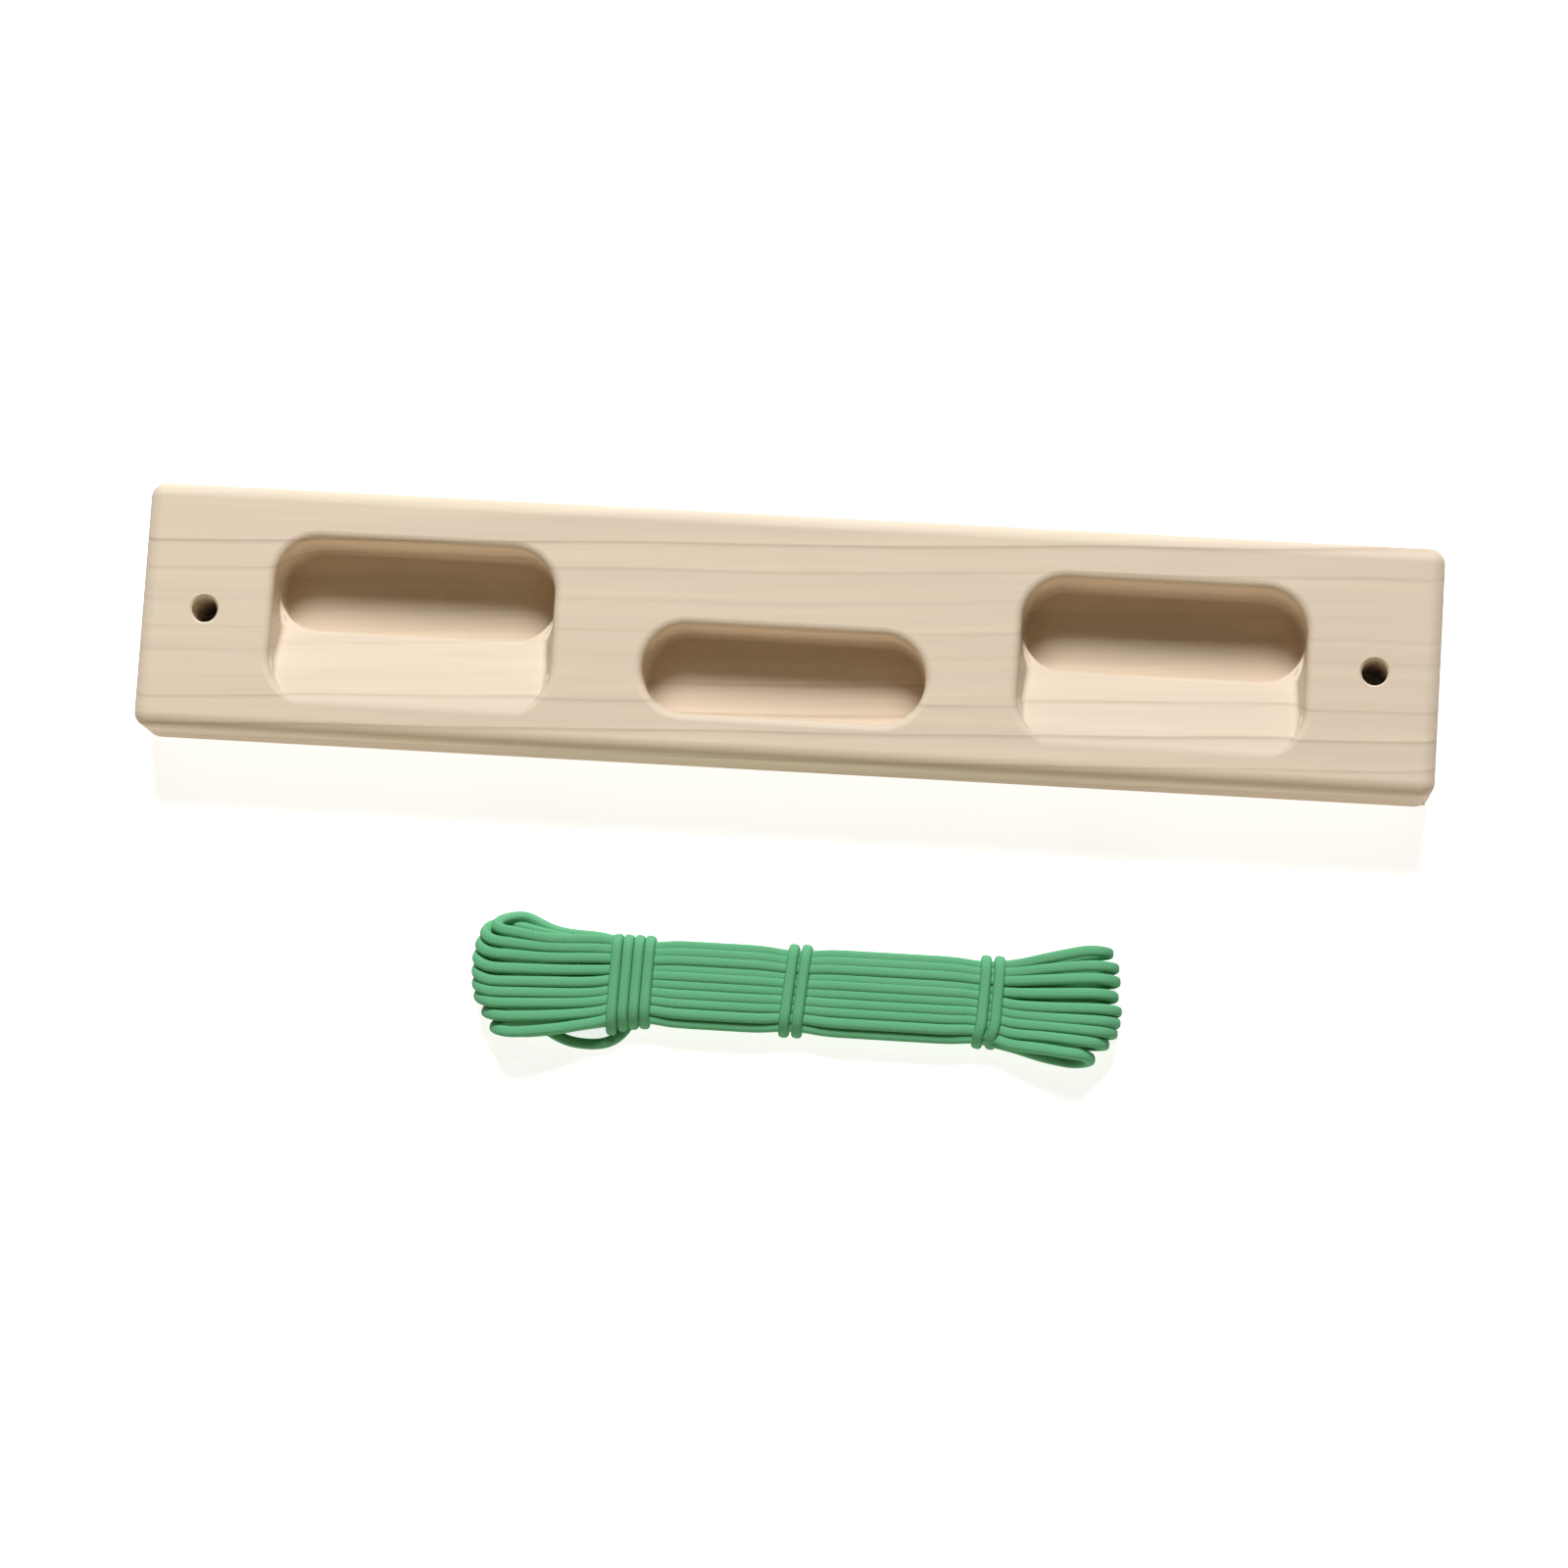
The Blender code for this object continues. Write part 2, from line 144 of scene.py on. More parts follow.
# Fans: the strands keep their places at the waist from "held" to "let_go", and then open. In each row,
# every place has its distance across beside the winding, half way out and at its end bend.
LAST_LOOP_RECESS = 0.0045
LEFT_FAN = {"held": 0.050, "let_go": 0.060, "beside": 0.076, "half_way": 0.097, "top": [
    [0.0144, 0.0109, 0.0073, 0.0027, -0.0019, -0.0060, -0.0096, -0.0135, -0.0175],
    [0.0133, 0.0099, 0.0059, 0.0012, -0.0036, -0.0079, -0.0119, -0.0168, -0.0224],
    [0.0151, 0.0107, 0.0060, 0.0006, -0.0046, -0.0088, -0.0129, -0.0179, -0.0239]], "low": [
    [0.0156, 0.0131, 0.0096, 0.0055, 0.0009, -0.0032, -0.0073, -0.0110, -0.0150, -0.0177],
    [0.0180, 0.0162, 0.0130, 0.0092, 0.0049, 0.0005, -0.0057, -0.0130, -0.0182, -0.0216],
    [0.0224, 0.0195, 0.0149, 0.0104, 0.0053, 0.0000, -0.0060, -0.0134, -0.0189, -0.0227]]}
RIGHT_FAN = {"held": 0.060, "let_go": 0.068, "beside": 0.083, "half_way": 0.096, "top": [
    [0.0139, 0.0109, 0.0077, 0.0031, -0.0015, -0.0049, -0.0085, -0.0124, -0.0167],
    [0.0169, 0.0128, 0.0086, 0.0033, -0.0020, -0.0059, -0.0093, -0.0133, -0.0181],
    [0.0205, 0.0148, 0.0099, 0.0041, -0.0017, -0.0063, -0.0103, -0.0145, -0.0194]], "low": [
    [0.0139, 0.0129, 0.0098, 0.0059, 0.0013, -0.0027, -0.0062, -0.0100, -0.0141, -0.0174],
    [0.0139, 0.0162, 0.0120, 0.0073, 0.0019, -0.0027, -0.0063, -0.0100, -0.0144, -0.0203],
    [0.0139, 0.0202, 0.0146, 0.0092, 0.0033, -0.0020, -0.0063, -0.0104, -0.0148, -0.0218]]}

# Side loop: round the first turn's foot and in under the next one
SIDE_LOOP = [(-0.0985, -0.0190), (-0.0955, -0.0212), (-0.0923, -0.0229), (-0.0890, -0.0243),
             (-0.0857, -0.0252), (-0.0816, -0.0256), (-0.0776, -0.0256), (-0.0742, -0.0252),
             (-0.0712, -0.0243), (-0.0688, -0.0228), (-0.0667, -0.0209), (-0.0651, -0.0187),
             (-0.0639, -0.0165)]
SIDE_LOOP_END = (-0.0633, -0.0140)

# Sides of a cord's tube, the distance between its rings, how square its section is pressed, and the
# share of its radius that its first and second rings from each melted end have
CORD_SIDES = 20
RING_STEP = 0.0016
SQUARENESS = 2.7
MELTED_END = (0.55, 0.93)

# How fast a ring's side turns back to level, how often a cord's line is smoothed, and how sharp an
# edge of the tube has to be to stay one
LEVELLING = 0.05
SMOOTH_ROUNDS = 3
CORD_CREASE = radians(60)

# Camera: almost straight above, a long way off, leaning towards the board's lower edge. Its focal
# length is in pixels of a picture as wide as the photograph.
CAMERA_PLACE = Vector((0.1302, -0.2926, 1.9354))
CAMERA_VIEW = Vector((-0.0663, 0.1230, -0.9902))
CAMERA_UP = Vector((-0.0558, 0.9904, 0.1267))
SENSOR_WIDTH = 36.0
FOCAL_PIXELS = 5124
PHOTO_WIDTH = 1600


def linear(red, green, blue):
    """Linear colour of a colour given as 0 to 255, by the sRGB curve."""
    values = np.array([red, green, blue]) / 255.0
    curved = np.where(values <= 0.04045, values / 12.92, ((values + 0.055) / 1.055) ** 2.4)
    return (*[float(v) for v in curved], 1.0)


WOOD_PINK = linear(222, 206, 187)
WOOD_CREAM = linear(230, 215, 193)
WOOD_STREAK = linear(209, 191, 165)
WOOD_LINE = linear(150, 126, 104)
WOOD_ROUGHNESS = 0.62
WOOD_SPECULAR = 0.25
WOOD_BUMP = {"strength": 0.25, "distance": 0.00012}

# Figure of the wood: the size in metres and the detail of each noise. A size is along the board,
# across its year lines and, where it has a third value, through its depth.
NOISE_ROUGHNESS = 0.55
YEAR_WAVE = {"size": (0.16, 0.09, 0.09), "detail": 1.0}
LINE_FADING = {"size": (0.045, 0.012), "detail": 2.0}
SOFT_BANDS = {"size": (0.22, 0.007), "detail": 2.0}
FINE_STREAKS = {"size": (0.05, 0.0017, 0.004), "detail": 3.0}
WOOD_FIBRES = {"size": (0.007, 0.00028, 0.0006), "detail": 2.0}

# Each pair is the noise values between which a tone or a streak comes in. The bands turn pinker and
# darker to the right by a lean per metre, a painted shade for the light falling off across the board,
# and a streak is dented, against the fibres, by STREAK_DENT.
BAND_ENDS = (0.32, 0.68)
PAINTED_FALLOFF_LEAN = 0.5
STREAK_ENDS = (0.35, 0.75)
STREAK_SHARE = 0.24
STREAK_DENT = 0.6

# Year lines, in metres, as (place, strength, width). They rise and fall with the wave, lean with the
# distance along the board and through it, and lie within a span across it. Each darkens over
# LINE_LEAD widths, clears over LINE_TAIL, and keeps LEAST_LINE of its strength where it fades most.
WAVE_HEIGHT = 0.007
YEAR_SLANT = 0.045
YEAR_TILT = 0.45
YEAR_SPAN = 0.16
LINE_LEAD = 2.2
LINE_TAIL = 0.6
LEAST_LINE = 0.35
YEAR_LINES = [(-0.0560, 0.35, 0.0006), (-0.0440, 0.3, 0.0006), (-0.0310, 0.35, 0.0006),
              (-0.0200, 0.42, 0.0007), (-0.0087, 0.32, 0.0006), (0.0097, 0.16, 0.0006),
              (0.0185, 0.2, 0.0006), (0.0300, 0.08, 0.0006), (0.0420, 0.28, 0.0006),
              (0.0525, 0.45, 0.0007)]

CORD_LIGHT = linear(110, 186, 138)
CORD_TEAL = linear(101, 180, 134)
# The darkest green is painted shade, mixed into the braid's grooves by up to BRAID_SHADE
CORD_GROOVE_SHADE = linear(52, 118, 78)
CORD_ROUGHNESS = 0.85
CORD_SPECULAR = 0.15
CORD_BUMP = {"strength": 0.35, "distance": 0.00018}
CORD_LENGTHS = {"size": (0.03, 0.01, 0.01), "detail": 2.0}
BRAID_STRANDS = 8
BRAID_SLANT = 1.0
BRAID_SHADE = 0.16

# Places of the mix node's sockets, whose names repeat: its share, and the pair and the result of each
# kind of mix
MIX_SHARE = 0
MIX_NUMBERS = (2, 3)
MIX_NUMBER_RESULT = 0
MIX_COLOURS = (6, 7)
MIX_COLOUR_RESULT = 2

# Floor, which glows a little like a light table, and the lights
WHITE = (1.0, 1.0, 1.0)
FLOOR_HALF_SIZE = 6.0
FLOOR_ROUGHNESS = 1.0
FLOOR_SPECULAR = 0.0
FLOOR_COLOUR = (0.86, 0.86, 0.86)
FLOOR_GLOW = 0.30
FLOOR_LIFT = 0.48
UNDER_BOARD = 0.0015
SKY_COLOUR = (1.0, 0.74, 0.42)
SKY_STRENGTH = 0.050
MAIN_PLACE = Vector((-0.10, 2.78, 2.88))
MAIN_SIZE = 1.55
MAIN_WATTS = 186
FILL_PLACE = Vector((0.0, -1.9, 0.75))
FILL_SIZE = 1.2
FILL_WATTS = 12
FILL_COLOUR = (1.0, 0.84, 0.62)


def mesh_piece(name, vertices, faces):
    """Object of a mesh of vertices, an n by 3 array, and faces, a list of index lists."""
    mesh = bpy.data.meshes.new(name)
    mesh.from_pydata(np.asarray(vertices).tolist(), [], faces)
    mesh.update()
    piece = bpy.data.objects.new(name, mesh)
    bpy.context.scene.collection.objects.link(piece)
    return piece


def ring_faces(rings, count):
    """Quads between neighbouring rings of count points each, and an n-gon over each end ring."""
    first = np.arange(rings - 1)[:, None] * count
    here = np.arange(count)[None, :]
    after = (here + 1) % count
    quads = np.stack([first + here, first + after, first + count + after, first + count + here], axis=-1)
    faces = quads.reshape(-1, 4).tolist()
    faces.append(list(range(count))[::-1])
    faces.append(list(range((rings - 1) * count, rings * count)))
    return faces


def rounded_box(name):
    """Box with all edges and corners rounded.

    Each point is the corner of an inner box, smaller by the rounding on every side, plus the rounding
    times a unit direction. Directions go round by longitude, in four quarters, and from the back to
    the face by latitude, in two halves; the flat sides open up between the quarters and halves.
    """
    quarter = np.linspace(0, pi / 2, EDGE_STEPS + 1)
    longitude = np.concatenate([quarter + pi / 2 * k for k in range(4)])
    sign_x = np.repeat([1, -1, -1, 1], EDGE_STEPS + 1)
    sign_y = np.repeat([1, 1, -1, -1], EDGE_STEPS + 1)
    latitude = np.concatenate([quarter - pi / 2, quarter])
    sign_z = np.repeat([-1, 1], EDGE_STEPS + 1)
    half = np.array([BOARD_LENGTH, BOARD_HEIGHT, BOARD_THICKNESS]) / 2 - EDGE_ROUND
    upward, round_about = np.meshgrid(latitude, longitude, indexing="ij")
    x = sign_x * half[0] + EDGE_ROUND * np.cos(upward) * np.cos(round_about)
    y = sign_y * half[1] + EDGE_ROUND * np.cos(upward) * np.sin(round_about)
    z = BOARD_THICKNESS / 2 + sign_z[:, None] * half[2] + EDGE_ROUND * np.sin(upward)
    points = np.stack([x, y, z], axis=-1).reshape(-1, 3)
    piece = mesh_piece(name, points, ring_faces(len(latitude), len(longitude)))
    close_mesh(piece)
    return piece


def close_mesh(piece):
    """Merges doubled points and turns all faces outwards."""
    shell = bmesh.new()
    shell.from_mesh(piece.data)
    bmesh.ops.remove_doubles(shell, verts=shell.verts, dist=MERGE_DISTANCE)
    bmesh.ops.dissolve_degenerate(shell, edges=shell.edges, dist=MERGE_DISTANCE)
    bmesh.ops.recalc_face_normals(shell, faces=shell.faces)
    shell.to_mesh(piece.data)
    shell.free()


def pocket_outline(slot_y, low_y, grow):
    """Slot outline, or the longer one with the same top whose foot is at low_y, grown outwards.

    Each half is a quarter circle, a straight side and a second quarter circle. On the plain slot the
    side has no length, and its points spread evenly over most of the second quarter's drop instead,
    so that each lies well above its partner on the longer outline and no face between them folds.
    """
    radius = SLOT_HEIGHT / 2
    corner_x = SLOT_LENGTH / 2 - radius
    reach = radius + grow
    side_length = slot_y - (low_y + radius)
    first = pi / 2 * (1 - np.arange(ARC_STEPS + 1) / ARC_STEPS)
    number = np.arange(1, SIDE_STEPS + ARC_STEPS + 1)
    past_side = np.maximum(number - SIDE_STEPS, 0) / ARC_STEPS
    if side_length < NEARLY_ZERO:
        turned = np.arcsin(SIDE_SHARE * np.minimum(number / SIDE_STEPS, 1))
        second = -turned - (pi / 2 - np.arcsin(SIDE_SHARE)) * past_side
    else:
        second = -pi / 2 * past_side
    angle = np.concatenate([first, second])
    down = side_length * np.concatenate([np.zeros(len(first)), np.minimum(number / SIDE_STEPS, 1)])
    x = corner_x + reach * np.cos(angle)
    y = slot_y - down + reach * np.sin(angle)
    return np.concatenate([np.stack([x, y], axis=1), np.stack([-x, y], axis=1)[::-1]])


def ramp_height(y):
    """Height of the ramp, which eases down from the face at its foot and sinks towards the slot.

    The ease is a parabola, level with the face at its lower end and as steep as the ramp where the
    outline's foot is. Past its lower end the height goes on above the face, so the cut ends there.
    """
    past = y - (RAMP_FOOT_Y + RAMP_FOOT_MARGIN - RAMP_FOOT_EASE)
    eased = np.clip(past + RAMP_FOOT_EASE, 0.0, 2 * RAMP_FOOT_EASE) ** 2 / (4 * RAMP_FOOT_EASE)
    straight = np.maximum(past - RAMP_FOOT_EASE, 0.0)
    above = np.maximum(-RAMP_FOOT_EASE - past, 0.0) / 2
    return BOARD_THICKNESS - (eased + straight - above) * tan(RAMP_SLOPE)


def side_room(y, slot_y):
    """Share of the ramp's width beside the slot's round end that draft, fillet and lip may each take.

    At a drop d below the slot's middle that width is R - sqrt(R^2 - d^2), with R half its height.
    """
    drop = np.clip((slot_y - y) / (SLOT_HEIGHT / 2), 0.0, 1.0)
    return ROOM_SHARE * SLOT_HEIGHT / 2 * (1 - np.sqrt(1 - drop ** 2))


def pocket_cutter(name, centre_x, slot_y, depth, has_ramp):
    """Solid of a pocket: rings from above the face, round the rim, down the ramp and into the slot.

    The ramp's side walls lean out by a draft and meet it in a fillet. Both die out towards the ramp's
    foot, and with the rounded lip towards the slot's middle, where there is no room.

    Each rounded edge is a quarter circle between two directions, so a ring's inset is the radius times
    one minus the cosine, and its drop the radius times one minus the sine, of the same angle.
    """
    low_y = RAMP_FOOT_Y + RAMP_FOOT_MARGIN if has_ramp else slot_y - SLOT_HEIGHT / 2
    quarter_turn = np.linspace(0, pi / 2, FILLET_STEPS + 1)
    rings = []

    def add(outline, z):
        rings.append(np.column_stack([outline, np.broadcast_to(z, len(outline))]))

    add(pocket_outline(slot_y, low_y, CUTTER_FLARE), BOARD_THICKNESS + CUTTER_RISE)
    rim = [(CUTTER_FLARE, BOARD_THICKNESS + CUTTER_SHOULDER)]
    for angle in np.linspace(RIM_START, 0, ROUND_STEPS + 1):
        rim.append((MOUTH_ROUND * (1 - cos(angle)), BOARD_THICKNESS - MOUTH_ROUND * (1 - sin(angle))))
    for grow, z in rim:
        outline = pocket_outline(slot_y, low_y, grow)
        add(outline, np.maximum(z, ramp_height(outline[:, 1])) if has_ramp else z)
    slot = pocket_outline(slot_y, slot_y - SLOT_HEIGHT / 2, 0.0)
    if has_ramp:
        outer = pocket_outline(slot_y, low_y, 0.0)
        outward = pocket_outline(slot_y, slot_y - SLOT_HEIGHT / 2, 1.0) - slot
        lip = np.minimum(LIP_ROUND, side_room(slot[:, 1], slot_y))[:, None]
        wall = np.maximum(BOARD_THICKNESS - MOUTH_ROUND - ramp_height(outer[:, 1]), 0.0)
        room = side_room(outer[:, 1], slot_y)
        inset = np.minimum(wall * WALL_DRAFT, room)[:, None]
        fillet = np.clip(np.minimum(wall, room), 0, RAMP_FILLET)[:, None]
        inward = pocket_outline(slot_y, low_y, -1.0) - outer
        for angle in quarter_turn:
            edge = outer + inward * (inset + fillet * (1 - cos(angle)))
            add(edge, ramp_height(edge[:, 1]) + fillet[:, 0] * (1 - sin(angle)))
        for angle in quarter_turn:
            edge = slot + outward * lip * (1 - sin(angle))
            add(edge, ramp_height(edge[:, 1]) - lip[:, 0] * (1 - cos(angle)))
    floor_z = BOARD_THICKNESS - depth
    for angle in quarter_turn:
        outline = pocket_outline(slot_y, slot_y - SLOT_HEIGHT / 2, -FLOOR_FILLET * (1 - cos(angle)))
        add(outline, floor_z + FLOOR_FILLET * (1 - sin(angle)))
    points = np.concatenate(rings)
    points[:, 0] += centre_x
    cutter = mesh_piece(name, points, ring_faces(len(rings), len(rings[0])))
    close_mesh(cutter)
    return cutter


def hole_cutter(name, centre_x):
    """Drill: a profile of radius and height turned round the hole's axis, wider at both faces."""
    radius = HOLE_DIAMETER / 2
    wide = radius + HOLE_CHAMFER + CUTTER_RISE
    profile = np.array([(wide, BOARD_THICKNESS + CUTTER_RISE), (radius, BOARD_THICKNESS - HOLE_CHAMFER),
                        (radius, HOLE_CHAMFER), (wide, -CUTTER_RISE)])
    turn = np.linspace(0, 2 * pi, HOLE_SIDES, endpoint=False)
    x = centre_x + profile[:, :1] * np.cos(turn)
    y = HOLE_Y + profile[:, :1] * np.sin(turn)
    z = np.broadcast_to(profile[:, 1:], x.shape)
    points = np.stack([x, y, z], axis=-1).reshape(-1, 3)
    cutter = mesh_piece(name, points, ring_faces(len(profile), HOLE_SIDES))
    close_mesh(cutter)
    return cutter


def make_board(wood):
    """Rounded plank with its three pockets and two holes cut out."""
    board = rounded_box("wooden_board")
    tools = [pocket_cutter("left_pocket", -SIDE_POCKET_X, SIDE_SLOT_Y, SIDE_SLOT_DEPTH, True),
             pocket_cutter("centre_pocket", 0.0, CENTRE_SLOT_Y, CENTRE_SLOT_DEPTH, False),
             pocket_cutter("right_pocket", SIDE_POCKET_X, SIDE_SLOT_Y, SIDE_SLOT_DEPTH, True),
             hole_cutter("left_hole", -HOLE_X), hole_cutter("right_hole", HOLE_X)]
    for tool in tools:
        cut = board.modifiers.new(tool.name, "BOOLEAN")
        cut.operation = "DIFFERENCE"
        cut.solver = "EXACT"
        cut.object = tool
    bpy.context.view_layer.update()
    carved = bpy.data.meshes.new_from_object(board.evaluated_get(bpy.context.evaluated_depsgraph_get()))
    board.modifiers.clear()
    board.data = carved
    for tool in tools:
        bpy.data.objects.remove(tool)
    carved.shade_smooth()
    carved.set_sharp_from_angle(angle=BOARD_CREASE)
    soften = board.modifiers.new("flat_faces_first", "WEIGHTED_NORMAL")
    soften.keep_sharp = True
    soften.weight = FLAT_FACE_WEIGHT
    board.data.materials.clear()
    board.data.materials.append(wood)
    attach(board, "board")
    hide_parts("board")


def ease(fraction):
    """Smooth step from 0 to 1, with a quicker start than finish, as a spreading bundle has."""
    held = min(max(fraction, 0.0), 1.0)
    return (held * held * (3 - 2 * held)) ** EASE_POWER


def bend_x(end, place):
    """Where the loop at a place stops running straight and its end bend starts."""
    return end["side"] * (HANK_HALF_LENGTH - CORD_DIAMETER / 2 - END_BEND_RADIUS - end["recess"][place])


def spread(end, x, stop_x):
    """How far open the fan is at x: 0 at its start, 1 where the loop's end bend starts."""
    travelled = end["side"] * x - end["start"]
    return ease(travelled / (end["side"] * stop_x - end["start"]))


def drawn_in(x):
    """How tightly the bundle is bound at x: 1 under a winding, falling off as a bell beside it."""
    tightest = 0.0
    for winding in (LEFT_WINDING, MIDDLE_WINDING, RIGHT_WINDING):
        first = winding["first_x"]
        last = first + winding["step"] * (len(winding["slack"]) - 1)
        beside = max(first - x, x - last, 0.0)
        tightest = max(tightest, exp(-(beside / DRAWN_REACH) ** 2))
    return tightest


def through(at, stations, values):
    """Smooth curve through values at rising stations: a cubic between each two, level before them.

    Each cubic is the sum of its two values and two slopes, each times its own blend of the share t
    of the way: (1+2t)(1-t)^2, t^2(3-2t), t(1-t)^2 and t^2(t-1), the last two times the width.
    """
    held = min(max(at, stations[0]), stations[-1])
    here = min(int(np.searchsorted(stations, held, side="right")), len(stations) - 1) - 1
    after = here + 1
    width = stations[after] - stations[here]
    t = (held - stations[here]) / width
    slopes = np.gradient(values, stations)
    value = (1 + 2 * t) * (1 - t) ** 2 * values[here] + t * t * (3 - 2 * t) * values[after]
    return float(value + width * (t * (1 - t) ** 2 * slopes[here] + t * t * (t - 1) * slopes[after]))


def strand_point(place, on_top, x, left_stop, right_stop):
    """Centre of a run at x: rows pressed together at the waist that open into a fan at each end."""
    end, fan, stop = (LEFT_END, LEFT_FAN, left_stop) if x < 0 else (RIGHT_END, RIGHT_FAN, right_stop)
    opened = spread(end, x, stop)
    out = end["side"] * x
    bound = WAIST_ACROSS[place]
    stations = [fan["held"], fan["let_go"], fan["beside"], fan["half_way"], end["side"] * stop]
    values = [bound, bound] + [row[place] for row in fan["top" if on_top else "low"]]
    drawn = drawn_in(x) * (1 - opened)
    loose = min(max((out - fan["let_go"]) / (fan["beside"] - fan["let_go"]), 0.0), 1.0)
    across = through(out, stations, values) * (1 - DRAWN_SHARE * drawn * (1 - loose))
    rise = WAIST_RISE[place] * (1 - opened)
    if on_top:
        z = TOP_ROW_Z + (FLOOR_Z + 2 * END_BEND_RADIUS - TOP_ROW_Z) * opened - DRAWN_TOP_DROP * drawn
    else:
        z = LOW_ROW_Z + (FLOOR_Z - LOW_ROW_Z) * opened - DRAWN_DROP * drawn
    return (x, across, z + rise)


def run_stations(left_stop, right_stop):
    """Places along a run: points through each fan and along the waist between them."""
    left = np.linspace(left_stop, -LEFT_END["start"], RUN_POINTS + 1)
    waist = np.linspace(-LEFT_END["start"], RIGHT_END["start"], WAIST_POINTS + 1)
    right = np.linspace(RIGHT_END["start"], right_stop, RUN_POINTS + 1)
    return [float(x) for x in np.concatenate([left, waist[1:], right[1:]])]


def end_bend(side, start, finish):
    """Half circle upright at the tip, leaning across from the run above to the run below it."""
    points = []
    for i in range(1, BEND_STEPS):
        angle = pi * i / BEND_STEPS
        part = (1 - cos(angle)) / 2
        across = start[1] + (finish[1] - start[1]) * part
        height = start[2] + (finish[2] - start[2]) * part
        along = start[0] + (finish[0] - start[0]) * part + side * END_BEND_RADIUS * sin(angle)
        points.append((along, across, height))
    return points


def hank_path():
    """One line through the hank: low run right, bend up, top run left, bend down, one step on."""
    points = []
    for loop in range(LOOPS + 1):
        place = LOOPS - loop
        left_stop = bend_x(LEFT_END, min(place, LOOPS - 1)) + (LAST_LOOP_RECESS if loop == LOOPS else 0.0)
        right_stop = bend_x(RIGHT_END, max(place - 1, 0))
        stations = run_stations(left_stop, right_stop)
        if loop == 0:
            stations = [x for x in stations if x > FIRST_RUN_START_X]
        if loop == LOOPS:
            stations = [x for x in stations if x < LAST_RUN_END_X]
        low = [strand_point(place, False, x, left_stop, right_stop) for x in stations]
        if points:
            points += end_bend(-1, points[-1], low[0])
        points += low
        if loop == LOOPS:
            break
        top_left = bend_x(LEFT_END, place - 1)
        top_stations = run_stations(top_left, right_stop)
        top = [strand_point(place - 1, True, x, top_left, right_stop) for x in reversed(top_stations)]
        points += end_bend(1, points[-1], top[0])
        points += top
    return points


def winding_outline():
    """Corners of the bound bundle, as (across, height), that a turn passes round."""
    inner = WAIST_ACROSS[0] * (1 - DRAWN_SHARE)
    outer_low = WAIST_ACROSS[LOOPS] * (1 - DRAWN_SHARE)
    outer_top = WAIST_ACROSS[LOOPS - 1] * (1 - DRAWN_SHARE)
    low = LOW_ROW_Z - ZIGZAG - DRAWN_DROP
    top = TOP_ROW_Z - DRAWN_TOP_DROP
    return [(outer_low, low), (inner, low), (inner, top), (outer_top, top)]


def turn_line():
    """One turn round the bundle: straight across each face and round each corner, close to it."""
    corners = winding_outline()
    line = []
    for i, corner in enumerate(corners):
        before = corners[i - 1]
        after = corners[(i + 1) % len(corners)]
        entry = np.arctan2(corner[1] - before[1], corner[0] - before[0]) - pi / 2
        leave = np.arctan2(after[1] - corner[1], after[0] - corner[0]) - pi / 2
        sweep = (leave - entry) % (2 * pi)
        pieces = max(2, round(sweep / CORNER_STEP))
        for k in range(pieces + 1):
            angle = entry + sweep * k / pieces
            line.append((corner[0] + HUG * cos(angle), corner[1] + HUG * sin(angle)))
    lowest = min(z for _, z in line)
    start = [i for i, (across, z) in enumerate(line) if z < lowest + NEARLY_ZERO and across > 0][0]
    return line[start:] + line[:start]


def winding_path(winding, lead_in):
    """Turns round the waist; each steps along while it crosses below, where the bundle hides it."""
    line = turn_line()
    low_z = line[0][1]
    inner = winding_outline()[1][0]
    outer = winding_outline()[0][0]
    half = (inner - outer) / 2
    step = winding["step"]
    points = list(lead_in) or [(winding["first_x"] - step / 2, (inner + outer) / 2, low_z)]
    for turn, slack in enumerate(winding["slack"]):
        x = winding["first_x"] + step * turn
        for across, z in line:
            bow = winding["bow"] * max(cos(pi / 2 * across / half), 0.0) if z > TOP_ROW_Z else 0.0
            wider = slack * min(across / outer, 1.0) if across < 0 else 0.0
            points.append((x + winding["lean"] * across / half + bow, across - wider, z))
    last_x = winding["first_x"] + step * (len(winding["slack"]) - 1) - winding["lean"]
    points.append((last_x + step * TAIL_OVERRUN / (2 * half), outer + TAIL_OVERRUN, low_z))
    return points


def to_world(points):
    """Moves points from the hank's own frame, with its middle at the origin, to beside the board."""
    return np.array(points) + (*HANK_CENTRE, 0.0)


def evenly(line, step):
    """The line again, with points step apart."""
    travelled = np.concatenate([[0.0], np.cumsum(np.linalg.norm(np.diff(line, axis=0), axis=1))])
    stations = np.linspace(0.0, travelled[-1], max(2, round(travelled[-1] / step) + 1))
    placed = [np.interp(stations, travelled, line[:, axis]) for axis in range(3)]
    return np.stack(placed, axis=1)


def smoothed(line, rounds):
    """Eases a line's corners: each inner point moves half way to the mean of its neighbours."""
    eased = line.copy()
    for _ in range(rounds):
        eased[1:-1] = eased[1:-1] / 2 + (eased[:-2] + eased[2:]) / 4
    return eased


